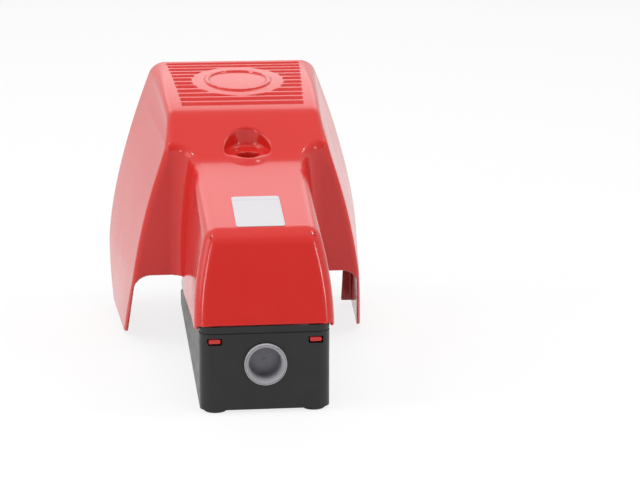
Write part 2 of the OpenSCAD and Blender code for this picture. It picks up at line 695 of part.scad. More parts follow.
// Pivot
clip_x = 29.6;
clip_t = 0.9;
groove_r = pin_d / 2 - 0.8;
module pivot_pin() color("silver") placed() translate([0, pivot_y, pivot_z]) difference() {
    x_rod(pin_d / 2, pin_half_l);
    mirrored() translate([clip_x, 0, 0]) rotate([0, 90, 0]) difference() {
        cylinder(d = pin_d + 2, h = clip_t + 0.2);
        cylinder(r = groove_r, h = clip_t + 0.2);
    }
}
module pivot_clips() color([0.3, 0.3, 0.32]) placed() translate([0, pivot_y, pivot_z]) mirrored()
    translate([clip_x + 0.1, 0, 0]) rotate([0, 90, 0]) linear_extrude(clip_t) difference() {
        circle(r = pin_d / 2 + 2.6);
        circle(r = groove_r + snug_fit);
        translate([0, -groove_r + 0.5]) square([12, 2 * groove_r - 1]);
    }
module rest_bar_place() translate([0, rest_bar_y(), rest_bar_z()]) children();
function rest_bar_y() = turned_y(rest_u, web_v, pedal_slope) - (rest_bar_d / 2 + fit) * sin(pedal_slope);
function rest_bar_z() = turned_z(rest_u, web_v, pedal_slope) - (rest_bar_d / 2 + fit) * cos(pedal_slope);
module rest_bar() color("silver") placed() rest_bar_place() {
    x_rod(rest_bar_d / 2, frame_x - 0.05);
    x_rod(rest_bar_d / 2 - 1, frame_outer_x + 1);
}

// Pedal
module flange_outline() difference() {
    union() {
        circle(hub_r);
        polygon([[0, -hub_r], [-hub_r, 0], [-4, web_v + 2.4], [web_rear_u, web_top_v], [pedal_l - 4,
            web_top_v],
            [pedal_l - 4, web_v - 4], [60, web_v - 9]]);
    }
    circle(d = bush_d + 2 * snug_fit);
}
module pedal_lever() color([0.7, 0.71, 0.72]) placed() on_pedal() difference() {
    union() {
        mirrored() side_slab(flange_x, flange_outer_x) flange_outline();
        translate([-flange_x - eps, web_rear_u, web_v]) cube([2 * (flange_x + eps),
            pedal_l - 4 - web_rear_u, lever_t]);
        translate([-tongue_x, tongue_u, web_v]) cube([2 * tongue_x, web_rear_u - tongue_u + eps, lever_t]);
    }
    for (u = rivet_us) mirrored() translate([rivet_x, u, 0]) cylinder(d = rivet_d + 2 * snug_fit, h = 20);
    mirrored() translate([block_x, actuator_u, 0]) cylinder(d = actuator_d + 2 * snug_fit, h = 20);
    translate([0, spring_u, 0]) cylinder(d = 4 + 2 * snug_fit, h = 20);
}
tread_half = tread_w / 2;
module tread_plate() color([0.6, 0.61, 0.62]) placed() on_pedal() difference() {
    union() {
        translate([-tread_half, tread_rear_u, web_top_v]) cube([tread_w, pedal_l - tread_rear_u, tread_t]);
        mirrored() translate([tread_half - tread_t, tread_rear_u, web_top_v])
            cube([tread_t, pedal_l - tread_rear_u, tread_t + tread_rim]);
        translate([0, pedal_l - 2, web_top_v + tread_t + 1]) x_rod(tread_t + 1, tread_half);
    }
    for (u = rivet_us) mirrored() translate([rivet_x, u, 0]) {
        cylinder(d = rivet_d + 2 * snug_fit, h = 20);
        translate([0, 0, web_top_v + 0.5]) cylinder(d = rivet_d + 3, h = 20);
    }
}
pad_v = web_top_v + tread_t;
pad_front_u = pedal_l - 6;
module tread_pad() color([0.1, 0.1, 0.1]) placed() on_pedal() {
    pitch = (pad_front_u - tread_rear_u - 3) / pad_ribs;
    side_slab(-tread_half + tread_t + fit, tread_half - tread_t - fit)
        polygon(concat([[pad_front_u, pad_v], [tread_rear_u + 1, pad_v], [tread_rear_u + 1, pad_v + pad_t]],
            [for (i = [0 : pad_ribs - 1]) let (u = tread_rear_u + 2 + i * pitch)
                each [[u, pad_v + pad_t], [u + pitch * 0.2, pad_v + pad_t + rib_h],
                    [u + pitch * 0.5, pad_v + pad_t + rib_h], [u + pitch * 0.7, pad_v + pad_t]]],
            [[pad_front_u, pad_v + pad_t]]));
}
module tread_rivets() color("silver") placed() on_pedal() for (u = rivet_us) mirrored()
    translate([rivet_x, u, 0]) {
    translate([0, 0, web_v - 1.4]) cylinder(d1 = rivet_d + 0.6, d2 = rivet_d + 3, h = 1.4);
    translate([0, 0, web_v - 0.1]) cylinder(d = rivet_d, h = lever_t + 0.7);
    translate([0, 0, web_top_v + 0.5]) cylinder(d = rivet_d + 2.6, h = tread_t - 0.6);
}
module pivot_bushes() color([0.85, 0.84, 0.8]) placed() translate([0, pivot_y, pivot_z])
    mirrored() rotate([0, 90, 0])
    difference() {
        union() {
            translate([0, 0, frame_outer_x + fit]) cylinder(d = bush_d + 3, h =
                flange_x - frame_outer_x - fit);
            translate([0, 0, flange_x - eps]) cylinder(d = bush_d, h = lever_t + 0.5);
        }
        cylinder(r = pin_d / 2 + running_fit, h = 40);
    }
module spring_seat() color([0.2, 0.2, 0.22]) placed() {
    intersection() {
        translate([0, spring_y, spring_seat_z]) cylinder(d = spring_d + 3, h = 20);
        on_pedal() translate([-far / 2, -far / 2, -far + web_v]) cube(far);
    }
    translate([0, spring_y, spring_seat_z - 4]) cylinder(d = peg_d, h = 4 + eps);
    on_pedal() translate([0, spring_u, web_v - 1]) cylinder(d = 4, h = lever_t + 1);
}
actuator_d = 5;
nut_t = 2.6;
module actuator_screws() color("silver") placed() on_pedal() mirrored() translate([block_x, actuator_u, 0]) {
    translate([0, 0, web_v - 5]) cylinder(d = actuator_d, h = actuator_v - web_v + 5);
    intersection() {
        translate([0, 0, actuator_v]) sphere(dome_r);
        cylinder(r = actuator_d / 2 + 0.5, h = 40);
    }
}
module actuator_nuts() color("silver") placed() on_pedal() mirrored()
    translate([block_x, actuator_u, web_v - nut_t])
    difference() {
        cylinder(d = 9, h = nut_t, $fn = 6);
        translate([0, 0, -1]) cylinder(d = actuator_d + 2 * snug_fit, h = 5);
    }

// Contact blocks, one on each side of the middle
module contact_block(side) placed() at_block(side) difference() {
    side_slab(-block_w / 2, block_w / 2) polygon([
        [-neck_l / 2, 0], [neck_l / 2, 0], [neck_l / 2, neck_h], [block_l / 2, neck_h], [block_l / 2,
            shoulder_h],
        [tower_l / 2, shoulder_h], [tower_l / 2, tower_h], [-tower_l / 2, tower_h], [-tower_l / 2,
            shoulder_h],
        [-block_l / 2, shoulder_h], [-block_l / 2, neck_h], [-neck_l / 2, neck_h]]);
    translate([-cavity_w / 2, -cavity_l / 2, cavity_z]) cube([cavity_w, cavity_l, cavity_top_z - cavity_z]);
    translate([0, 0, -1]) cylinder(r = stem_d / 2 + running_fit, h = cavity_z + 2);
    for (end = [0, 180], k = [0, 1]) rotate([0, 0, end]) {
        z = k == 0 ? low_strip_z : high_strip_z;
        x = (k == 0 ? 1 : -1) * (end == 0 ? 1 : -1) * strip_x;
        translate([x - strip_w / 2 - 0.1, cavity_l / 2 - 1, z - 0.1])
            cube([strip_w + 0.2, riser_y - cavity_l / 2 + 1 + strip_t + 0.2, strip_t + 0.2]);
        translate([x - strip_w / 2 - 0.1, riser_y - 0.1, z - 0.1])
            cube([strip_w + 0.2, strip_t + 0.2, far / 20]);
        translate([x, terminal_y, shoulder_h - 7]) cylinder(d = terminal_d + 2 * snug_fit, h = 20);
    }
    for (end = [-1, 1]) translate([0, end * bolt_y, bolt_z]) x_rod(bolt_d / 2 + snug_fit, block_w);
}
module contact_block_left() color([0.22, 0.24, 0.28]) contact_block(-1);
module contact_block_right() color([0.22, 0.24, 0.28]) contact_block(1);
module fixed_contacts(side) color([0.8, 0.62, 0.3]) placed() at_block(side)
    for (end = [0, 180], k = [0, 1]) rotate([0, 0, end]) {
        z = k == 0 ? low_strip_z : high_strip_z;
        x = (k == 0 ? 1 : -1) * (end == 0 ? 1 : -1) * strip_x;
        difference() {
            union() {
                translate([x - strip_w / 2, strip_reach, z])
                    cube([strip_w, riser_y + strip_t - strip_reach, strip_t]);
                translate([x - strip_w / 2, riser_y, z]) cube([strip_w, strip_t, shoulder_h + strip_t - z]);
                translate([x - strip_w / 2, riser_y, shoulder_h])
                    cube([strip_w, block_l / 2 - riser_y - 0.4, strip_t]);
            }
            translate([x, terminal_y, shoulder_h - 1]) cylinder(d = terminal_d + 2 * snug_fit, h = 20);
        }
    }
module fixed_contacts_left() fixed_contacts(-1);
module fixed_contacts_right() fixed_contacts(1);
module terminal_screws() color("silver") placed() for (side = [-1, 1]) at_block(side)
    for (end = [0, 180], x = [-strip_x, strip_x]) rotate([0, 0, end])
        translate([x, terminal_y, shoulder_h + strip_t])
        pan_screw(terminal_d, 3.6, 1.6, 6);
module block_bolts() color("silver") placed() at_bolts() {
    x_rod(bolt_d / 2, frame_outer_x + 3.4);
    translate([-frame_outer_x, 0, 0]) rotate([0, -90, 0]) cylinder(d = 7, h = 2.6);
}
module block_nuts() color("silver") placed() at_bolts() translate([frame_outer_x, 0, 0])
    rotate([0, 90, 0]) difference() {
    cylinder(d = 8, h = 3, $fn = 6);
    translate([0, 0, -1]) cylinder(d = bolt_d + 2 * snug_fit, h = 5);
}
module plunger(side) color([0.85, 0.2, 0.15]) placed() at_block(side) {
    translate([0, 0, plunger_foot_z - block_z]) cylinder(d = plunger_foot_d, h = plunger_foot_h);
    translate([0, 0, plunger_foot_z - block_z + 1]) cylinder(d = stem_d, h = carriage_z +
        block_z - plunger_foot_z);
    translate([-4, -3.5, carriage_z]) cube([8, 7, carriage_h]);
    translate([0, 0, carriage_z + 1]) cylinder(d = spigot_d, h = spigot_top_z - carriage_z - 1);
}
module plunger_left() plunger(-1);
module plunger_right() plunger(1);
module bridge(side) color([0.85, 0.7, 0.35]) placed() at_block(side)
    translate([0, 0, bridge_z]) difference() {
    translate([-bridge_w / 2, -bridge_l / 2, 0]) cube([bridge_w, bridge_l, bridge_t]);
    translate([0, 0, -1]) cylinder(d = spigot_d + 2 * snug_fit, h = 4);
}
module bridge_left() bridge(-1);
module bridge_right() bridge(1);

// Bumper and springs
module pedal_bumper() color([0.12, 0.12, 0.12]) placed() translate([0, bumper_y, bumper_top_z - bumper_h]) {
    cylinder(d = bumper_d, h = bumper_h - 2);
    translate([0, 0, bumper_h - 2]) cylinder(d1 = bumper_d, d2 = bumper_d - 3, h = 2);
    translate([0, 0, -5]) cylinder(d = 5, h = 5 + eps);
}
// Wire swept along a helix, standing on z = 0
module coil(outer_d, wire_d, turns, h, steps, sides) {
    r = (outer_d - wire_d) / 2;
    count = turns * steps;
    rise = (h - wire_d) / count;
    rings = [for (i = [0 : count]) let (a = 360 * i / steps) [for (k = [0 : sides - 1]) let (b =
        360 * k / sides)
        [(r + wire_d / 2 * cos(b)) * cos(a), (r + wire_d / 2 * cos(b)) * sin(a),
         wire_d / 2 + i * rise + wire_d / 2 * sin(b)]]];
    walls = [for (i = [0 : count - 1], k = [0 : sides - 1])
        let (a = i * sides + k, b = i * sides + (k + 1) % sides) each [[a, a + sides, b], [b, a +
            sides, b + sides]]];
    first = [for (k = [0 : sides - 1]) k];
    last = [for (k = [sides - 1 : -1 : 0]) count * sides + k];
    polyhedron([for (ring = rings) each ring], concat(walls, [first, last]));
}
module pedal_spring() color("silver") placed() translate([0, spring_y, spring_foot_z + 0.1])
    coil(spring_d, spring_wire, spring_turns, spring_seat_z - spring_foot_z - 0.2, 14, 6);
plunger_spring_z = bridge_z + bridge_t + 0.1;
module plunger_spring(side) color("silver") placed() at_block(side) translate([0, 0, plunger_spring_z])
    coil(spigot_d + 2.4, 0.6, 5, cavity_top_z - plunger_spring_z - 0.1, 12, 5);
module plunger_spring_left() plunger_spring(-1);
module plunger_spring_right() plunger_spring(1);

base_housing();
base_feet();
entry_plug();
hood();
label_plate();
hood_screw();
hood_washer();
hood_nut();
mechanism_frame();
frame_screws();
earth_screw();
earth_clamp();
pivot_pin();
pivot_clips();
rest_bar();
contact_block_left();
contact_block_right();
fixed_contacts_left();
fixed_contacts_right();
terminal_screws();
block_bolts();
block_nuts();
pedal_bumper();
pedal_spring();
plunger_spring_left();
plunger_spring_right();
pedal_lever();
tread_plate();
tread_pad();
tread_rivets();
pivot_bushes();
spring_seat();
actuator_screws();
actuator_nuts();
plunger_left();
plunger_right();
bridge_left();
bridge_right();
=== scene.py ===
"""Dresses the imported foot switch: a smooth cast hood, bevelled mouldings and procedural finishes."""

import json
import math

import bmesh
import bpy
import numpy as np
from mathutils import Matrix, Vector

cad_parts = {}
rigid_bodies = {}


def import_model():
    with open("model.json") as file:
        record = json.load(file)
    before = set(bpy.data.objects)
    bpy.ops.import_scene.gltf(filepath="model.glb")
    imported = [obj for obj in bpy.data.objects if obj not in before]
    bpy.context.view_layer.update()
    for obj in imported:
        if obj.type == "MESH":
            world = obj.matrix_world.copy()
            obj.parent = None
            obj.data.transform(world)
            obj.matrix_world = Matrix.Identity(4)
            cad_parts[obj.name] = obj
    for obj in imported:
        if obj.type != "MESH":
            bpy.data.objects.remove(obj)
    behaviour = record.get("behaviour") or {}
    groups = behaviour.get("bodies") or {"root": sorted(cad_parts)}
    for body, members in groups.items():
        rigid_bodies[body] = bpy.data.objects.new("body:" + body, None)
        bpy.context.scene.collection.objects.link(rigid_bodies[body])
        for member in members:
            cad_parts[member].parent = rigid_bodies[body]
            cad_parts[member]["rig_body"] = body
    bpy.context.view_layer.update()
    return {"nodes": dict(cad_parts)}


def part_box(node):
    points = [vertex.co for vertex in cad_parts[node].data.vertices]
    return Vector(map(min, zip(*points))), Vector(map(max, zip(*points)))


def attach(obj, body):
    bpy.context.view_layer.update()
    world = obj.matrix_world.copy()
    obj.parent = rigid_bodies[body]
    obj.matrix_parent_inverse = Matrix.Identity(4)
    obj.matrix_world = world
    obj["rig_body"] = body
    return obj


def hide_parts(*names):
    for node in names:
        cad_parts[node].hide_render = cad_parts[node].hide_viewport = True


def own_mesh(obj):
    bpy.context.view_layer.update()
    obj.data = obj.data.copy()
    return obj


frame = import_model()
nodes = frame["nodes"]

# ------------------------------------------------------------------ camera
CAMERA_AT = Vector((-0.09194, -1.16952, 0.35123))
CAMERA_YAW = math.radians(6.61)
CAMERA_PITCH = math.radians(13.5)
CAMERA_ROLL = math.radians(0.12)
CAMERA_LENS = 112.9

camera_data = bpy.data.cameras.new("camera")
camera_data.sensor_width = 36
camera_data.lens = CAMERA_LENS
camera_data.clip_end = 50
camera = bpy.data.objects.new("camera", camera_data)
bpy.context.scene.collection.objects.link(camera)
ahead = Vector((math.sin(CAMERA_YAW) * math.cos(CAMERA_PITCH), math.cos(CAMERA_YAW) * math.cos(CAMERA_PITCH),
                -math.sin(CAMERA_PITCH)))
turn = ahead.to_track_quat("-Z", "Y").to_matrix().to_4x4() @ Matrix.Rotation(CAMERA_ROLL, 4, "Z")
camera.matrix_world = Matrix.Translation(CAMERA_AT) @ turn
bpy.context.scene.camera = camera
bpy.context.scene.view_settings.view_transform = "Standard"


# --------------------------------------------------------------- materials
def new_material(name):
    """A material with one Principled shader, and helpers to link nodes into it."""
    material = bpy.data.materials.new(name)
    material.use_nodes = True
    tree = material.node_tree
    shader = next(n for n in tree.nodes if n.type == "BSDF_PRINCIPLED")
    return material, tree, shader


def add(tree, kind, inputs=(), **settings):
    node = tree.nodes.new(kind)
    for key, value in settings.items():
        setattr(node, key, value)
    for key, value in dict(inputs).items():
        if isinstance(value, bpy.types.NodeSocket):
            tree.links.new(value, node.inputs[key])
        else:
            node.inputs[key].default_value = value
    return node


def object_place(tree):
    return add(tree, "ShaderNodeTexCoord").outputs["Object"]


def noise(tree, scale, detail=2.0, place=None):
    return add(tree, "ShaderNodeTexNoise", {"Vector": place or object_place(tree), "Scale": scale, "Detail": detail})


def mix_colour(tree, factor, a, b):
    node = tree.nodes.new("ShaderNodeMix")
    node.data_type = "RGBA"
    for socket, value in ((node.inputs[0], factor), (node.inputs[6], a), (node.inputs[7], b)):
        if isinstance(value, bpy.types.NodeSocket):
            tree.links.new(value, socket)
        elif isinstance(value, tuple):
            socket.default_value = (*value, 1)
        else:
            socket.default_value = value
    return node.outputs[2]


def remap(tree, value, a, b, c, d):
    node = add(tree, "ShaderNodeMapRange", {"Value": value, "From Min": a, "From Max": b, "To Min": c, "To Max": d})
    return node.outputs["Result"]


def bumped(tree, shader, layers):
    """Stacks bump layers of (height socket, strength, distance in metres)."""
    normal = None
    for height, strength, distance in layers:
        inputs = {"Height": height, "Strength": strength, "Distance": distance}
        if normal:
            inputs["Normal"] = normal
        normal = add(tree, "ShaderNodeBump", inputs).outputs["Normal"]
    tree.links.new(normal, shader.inputs["Normal"])


def red_paint():
    """Glossy enamel with orange peel over the skin of the casting."""
    material, tree, shader = new_material("red_enamel")
    cloud = noise(tree, 18, 3)
    tree.links.new(mix_colour(tree, cloud.outputs["Fac"], (0.56, 0.016, 0.012), (0.61, 0.021, 0.016)),
                   shader.inputs["Base Color"])
    tree.links.new(remap(tree, noise(tree, 40, 0).outputs["Fac"], 0, 1, 0.14, 0.22), shader.inputs["Roughness"])
    bumped(tree, shader, [(noise(tree, 560, 1).outputs["Fac"], 0.12, 0.0004)])
    return material


def moulded(name, colour, rough=0.45, grain=2600, depth=0.00008, tint=1.35):
    """Moulded plastic: fine grain, faint flow marks and a slightly uneven gloss."""
    material, tree, shader = new_material(name)
    lighter = tuple(min(1, c * tint) for c in colour)
    cloud = noise(tree, 45, 3)
    tree.links.new(mix_colour(tree, cloud.outputs["Fac"], colour, lighter), shader.inputs["Base Color"])
    tree.links.new(remap(tree, noise(tree, 160).outputs["Fac"], 0.3, 0.7, rough - 0.06, rough + 0.08),
                   shader.inputs["Roughness"])
    bumped(tree, shader, [(noise(tree, grain, 1).outputs["Fac"], 0.25, depth),
                          (cloud.outputs["Fac"], 0.1, 0.0006)])
    shader.inputs["Specular IOR Level"].default_value = 0.42
    return material


def metal(name, colour, rough=0.34, streak=(900, 900, 60)):
    """Plated or brushed metal with fine streaks and patches of duller plating."""
    material, tree, shader = new_material(name)
    shader.inputs["Metallic"].default_value = 1
    place = add(tree, "ShaderNodeMapping", {"Vector": object_place(tree), "Scale": streak})
    lines = noise(tree, 1, 3, place.outputs["Vector"])
    patch = noise(tree, 70, 3)
    dull = tuple(c * 0.82 for c in colour)
    tree.links.new(mix_colour(tree, patch.outputs["Fac"], dull, colour), shader.inputs["Base Color"])
    tree.links.new(remap(tree, lines.outputs["Fac"], 0.3, 0.7, rough - 0.08, rough + 0.12), shader.inputs["Roughness"])
    bumped(tree, shader, [(lines.outputs["Fac"], 0.12, 0.00006)])
    return material


def plug_plastic(rim_y, floor_y):
    """Milky plastic with painted shade that darkens from the rim to the floor of its cup, for the cup's shadow and the
    dark tray showing through its thin floor.
    """
    material, tree, shader = new_material("milky_grey_plastic")
    y = add(tree, "ShaderNodeSeparateXYZ", {"Vector": object_place(tree)}).outputs["Y"]
    depth = remap(tree, y, rim_y, floor_y, 0, 1)
    flow = noise(tree, 260, 2)
    pale = mix_colour(tree, flow.outputs["Fac"], (0.40, 0.39, 0.41), (0.46, 0.45, 0.47))
    # Painted shade: the colour turns dark towards the floor of the cup
    tree.links.new(mix_colour(tree, depth, pale, (0.10, 0.10, 0.125)), shader.inputs["Base Color"])
    shader.inputs["Roughness"].default_value = 0.3
    bumped(tree, shader, [(flow.outputs["Fac"], 0.06, 0.0002)])
    return material


def label_film(line_y):
    """White film with a faint paper grain and one thin grey rule near its upper edge."""
    material, tree, shader = new_material("label_film")
    y = add(tree, "ShaderNodeSeparateXYZ", {"Vector": object_place(tree)}).outputs["Y"]
    off = add(tree, "ShaderNodeMath", {0: y, 1: line_y}, operation="SUBTRACT").outputs[0]
    size = add(tree, "ShaderNodeMath", {0: off}, operation="ABSOLUTE").outputs[0]
    line = add(tree, "ShaderNodeMath", {0: size, 1: 0.00035}, operation="LESS_THAN").outputs[0]
    grain = noise(tree, 900, 3)
    paper = mix_colour(tree, grain.outputs["Fac"], (0.52, 0.51, 0.54), (0.57, 0.56, 0.58))
    tree.links.new(mix_colour(tree, line, paper, (0.42, 0.42, 0.44)), shader.inputs["Base Color"])
    tree.links.new(remap(tree, grain.outputs["Fac"], 0.3, 0.7, 0.3, 0.42), shader.inputs["Roughness"])
    bumped(tree, shader, [(grain.outputs["Fac"], 0.05, 0.0001)])
    return material


label_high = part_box("label_plate")[1]
plug_low, plug_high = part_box("entry_plug")
RED = red_paint()
BLACK = moulded("black_moulding", (0.0100, 0.0088, 0.0100), rough=0.38)
STEEL = metal("zinc_plated_steel", (0.62, 0.63, 0.64))
DARK_STEEL = metal("dark_spring_steel", (0.22, 0.22, 0.23), rough=0.4)
BRASS = metal("plain_brass", (0.75, 0.56, 0.27), rough=0.3)
TREAD_STEEL = moulded("tread_coating", (0.10, 0.10, 0.105), rough=0.5, grain=900, depth=0.0003)
RUBBER = moulded("black_rubber", (0.028, 0.028, 0.028), rough=0.72, grain=1500, depth=0.0002, tint=1.6)
BLOCK = moulded("block_thermoset", (0.08, 0.09, 0.11), rough=0.5)
PLUNGER = moulded("plunger_moulding", (0.58, 0.075, 0.055), rough=0.35)
BUSH = moulded("acetal", (0.68, 0.67, 0.63), rough=0.38, tint=1.1)
PLUG = plug_plastic(plug_low.y + 0.0008, plug_low.y + 0.0125)
LABEL = label_film(label_high.y - 0.0052)

FINISHES = {
    "hood": RED, "base_housing": BLACK, "base_feet": RUBBER, "entry_plug": PLUG, "label_plate": LABEL,
    "hood_screw": STEEL, "hood_washer": STEEL, "hood_nut": STEEL, "mechanism_frame": STEEL,
    "frame_screws": STEEL, "earth_screw": BRASS, "earth_clamp": BRASS, "pivot_pin": STEEL,
    "pivot_clips": DARK_STEEL, "rest_bar": STEEL, "contact_block_left": BLOCK, "contact_block_right": BLOCK,
    "fixed_contacts_left": BRASS, "fixed_contacts_right": BRASS, "terminal_screws": STEEL, "block_bolts": STEEL,
    "block_nuts": STEEL, "pedal_bumper": RUBBER, "pedal_spring": DARK_STEEL, "plunger_spring_left": DARK_STEEL,
    "plunger_spring_right": DARK_STEEL, "pedal_lever": STEEL, "tread_plate": TREAD_STEEL, "tread_pad": RUBBER,
    "tread_rivets": STEEL, "pivot_bushes": BUSH, "spring_seat": BLOCK, "actuator_screws": STEEL,
    "actuator_nuts": STEEL, "plunger_left": PLUNGER, "plunger_right": PLUNGER, "bridge_left": BRASS,
    "bridge_right": BRASS,
}

for name, obj in nodes.items():
    obj.data.materials.clear()
    obj.data.materials.append(FINISHES[name])


# ------------------------------------------------- pieces cut from CAD nodes
def body_of(name):
    return nodes[name]["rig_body"]


def place_piece(obj, name, replaced):
    """Puts a finished piece in the scene on its node's body, in its node's finish."""
    bpy.context.scene.collection.objects.link(obj)
    obj.data.materials.clear()
    obj.data.materials.append(FINISHES[replaced])
    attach(obj, body_of(replaced))
    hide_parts(replaced)
    return obj


def merged_copy(name):
    """The node's mesh with its doubled corners merged and its flat areas made into single faces."""
    mesh = bmesh.new()
    mesh.from_mesh(nodes[name].data)
    bmesh.ops.remove_doubles(mesh, verts=mesh.verts, dist=1e-6)
    bmesh.ops.dissolve_limit(mesh, angle_limit=math.radians(1), verts=mesh.verts, edges=mesh.edges)
    data = bpy.data.meshes.new(name + "_piece")
    mesh.to_mesh(data)
    mesh.free()
    data.polygons.foreach_set("use_smooth", [True] * len(data.polygons))
    return data


def baked(obj):
    """The object's mesh with its modifiers applied."""
    bpy.context.scene.collection.objects.link(obj)
    bpy.context.view_layer.update()
    done = obj.evaluated_get(bpy.context.evaluated_depsgraph_get())
    data = bpy.data.meshes.new_from_object(done)
    bpy.context.scene.collection.objects.unlink(obj)
    obj.modifiers.clear()
    obj.data = data
    return obj


def dressed(name, bevel, segments=2, angle=35):
    """Stands for a CAD node with rounded edges."""
    obj = bpy.data.objects.new(name + "_piece", merged_copy(name))
    round_off = obj.modifiers.new("round", "BEVEL")
    round_off.width = bevel
    round_off.segments = segments
    round_off.limit_method = "ANGLE"
    round_off.angle_limit = math.radians(angle)
    round_off.harden_normals = False
    round_off.use_clamp_overlap = True
    weigh = obj.modifiers.new("weigh", "WEIGHTED_NORMAL")
    weigh.keep_sharp = True
    return place_piece(baked(obj), name + "_piece", name)


dressed("base_housing", 0.0007)
dressed("base_feet", 0.0012, 3)


SHARP_ANGLE = math.radians(50)


def lathed(name, profile, at, turns=72):
    """A piece turned about the y axis from (radius, y) points in millimetres, smooth up to SHARP_ANGLE."""
    rings = [[Vector((r * math.cos(a), y, r * math.sin(a))) / 1000 + at
              for a in (math.tau * i / turns for i in range(turns))] for r, y in profile if r > 0]
    points = [p for ring in rings for p in ring]
    faces = []
    for j in range(len(rings) - 1):
        for i in range(turns):
            k = (i + 1) % turns
            faces.append((j * turns + i, j * turns + k, (j + 1) * turns + k, (j + 1) * turns + i))
    for start, y, flip in ((0, profile[0][1], False), (len(rings) - 1, profile[-1][1], True)):
        points.append(Vector((0, y / 1000, 0)) + at)
        for i in range(turns):
            a, b = start * turns + i, start * turns + (i + 1) % turns
            faces.append((a, b, len(points) - 1) if flip else (b, a, len(points) - 1))
    data = bpy.data.meshes.new(name)
    data.from_pydata(points, [], faces)
    data.polygons.foreach_set("use_smooth", [True] * len(data.polygons))
    data.set_sharp_from_angle(angle=SHARP_ANGLE)
    return bpy.data.objects.new(name, data)


# Blanking plug: a cup with a gate mark on its floor, a flange with a ring groove, and a plain shank
PLUG_PROFILE = (
    (0, 10.2), (0.9, 10.2), (1.1, 10.6), (8.5, 11.0), (8.9, 10.2), (9.2, 2.2), (10.1, 1.2), (10.4, 0.15),
    (10.6, 0.1), (10.8, 0.2), (10.9, 0.9), (11.15, 0.9), (11.25, 0.1), (11.5, 0), (11.75, 0.4), (11.75, 2.2),
    (11.5, 2.4), (9.9, 2.4), (9.9, 12.3), (9.5, 12.6), (0, 12.6),
)
plug_middle = (plug_low + plug_high) / 2
place_piece(lathed("entry_plug_piece", PLUG_PROFILE, Vector((plug_middle.x, plug_low.y, plug_middle.z))),
            "entry_plug_piece", "entry_plug")
dressed("label_plate", 0.0001, 1)
dressed("tread_plate", 0.0004)
dressed("tread_pad", 0.0004)
dressed("pedal_lever", 0.0003)

# Each spring gets its own copy of its mesh; the joint, at_top and keep, what is left of its height at the end of the
# travel, are listed but not used here
for name, joint, at_top, keep in (
    ("pedal_spring", "pedal_pivot", False, 0.82),
    ("plunger_spring_left", "left_plunger_slide", True, 0.7),
    ("plunger_spring_right", "right_plunger_slide", True, 0.7),
):
    coil = place_piece(bpy.data.objects.new(name + "_piece", merged_copy(name)), name + "_piece", name)
    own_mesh(coil)


# ------------------------------------------------------------- cast hood
# The casting is worked out in millimetres from the rear face of the tray, as a field that is
# negative inside the metal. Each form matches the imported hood, with the fillets of a casting.
REAR_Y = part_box("base_housing")[0].y * 1000
hood_low, hood_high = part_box("hood")
MOUTH_X = hood_high.x * 1000
ROOF_FRONT_Z = hood_high.z * 1000
FRONT_Y = hood_high.y * 1000 - REAR_Y
WING_GAP = hood_low.z * 1000
RIM_Z = 49.5
WALL = 2.4
SKIRT_X = 38.7
REAR_LEAN = 10.5
LABEL_REAR_Z, LABEL_FRONT_Z = 100.0, 119.5
FOOT_Y, TOP_Y = 108.0, 140.0
ROOF_REAR_Z = 145.0
ROOF_BULGE = 2.0
WING_X = 74.5
TUNNEL_Z = 46.5
MID_Z = 29.5
SKIRT_END_Y = 163.0
# Curves of the mouth, the wing's rear edge and the leaning sides of the rear part
MOUTH_KNEE_Z, MOUTH_DRAW, MOUTH_CURVE, MOUTH_TUCK = 43, 30.6, 1.57, 17
WING_SLANT, WING_CURL, WING_FLARE, WING_FLARE_CURVE = 17, 19.5, 8.5, 12
NARROW_TOP_X, SIDE_CURVE = [30.7, 33.5, 35.5, 37.5], 2.1
# Roundings of the casting
WING_EDGE_R, INNER_FILLET_R, REAR_EDGE_R = 3.0, 9.0, 7.0
RIM_EDGE_R, TRIM_R, MOUTH_EDGE_R = 0.8, 0.7, 0.9
# Screw pocket: its wall, the hole, the pillar below and the mound that levels its floor
SCREW_Y = 113.6
POCKET_R, HOLE_R, BOSS_R, BORE_R = 13.9, 6.35, 10.0, 3.3
POCKET_STRETCH, POCKET_RUNOUT = 0.88, 0.4
MOUND_H, MOUND_RISE, MOUND_R = 2.5, 0.08, 10.0
PILLAR_Z, SEAT_Z = 103.7, 107.0
GROOVES, GROOVE_W, GROOVE_DEPTH = 12, 5.0, 1.4
GROOVE_FIRST_Y, GROOVE_LAST_Y = 151.0, FRONT_Y - 7.6
GROOVE_REAR_X, GROOVE_FRONT_X = 36.5, 43.5
RING_Y, RING_OUT, RING_IN, DISC_R = 192.0, 20.85, 17.85, 28.5
RING_H, RING_TILT = 0.95, 0.155
LIP_FROM_FRONT, LIP_DEPTH, LIP_HALF = 15.5, 6.5, 1.5
LEG_INSET = 2
HOOK_X, HOOK_Z, HOOK_HALF = 27.8, 41.0, 3.45
SHOULDER_Z = ROOF_REAR_Z - 17
RISE = (ROOF_REAR_Z - LABEL_FRONT_Z) / (TOP_Y - FOOT_Y)
WALL_TOP_Y = FOOT_Y + (SHOULDER_Z - LABEL_FRONT_Z) / RISE
WALL_FOOT_Y = WALL_TOP_Y + 9
TIP_Y = WALL_FOOT_Y + 34
KNEE_Z = TUNNEL_Z - 2.5
LABEL_RISE = (LABEL_FRONT_Z - LABEL_REAR_Z) / (FOOT_Y - REAR_LEAN)


def mix(a, b, k):
    return a + (b - a) * k


def ramp(v, a, b):
    """Smooth step from 0 at a to 1 at b."""
    k = np.clip((v - a) / (b - a), 0, 1)
    return k * k * (3 - 2 * k)


def meet(a, b, r):
    """Both forms, with their outer edge rounded to radius r."""
    return np.minimum(np.maximum(a, b), -r) + np.hypot(np.maximum(a + r, 0), np.maximum(b + r, 0))


def join(a, b, r):
    """Either form, with a fillet of radius r between them."""
    return -meet(-a, -b, r)


def skirt_z(y):
    return RIM_Z - 1.5 - (RIM_Z - 1.5 - MID_Z) / SKIRT_END_Y * y


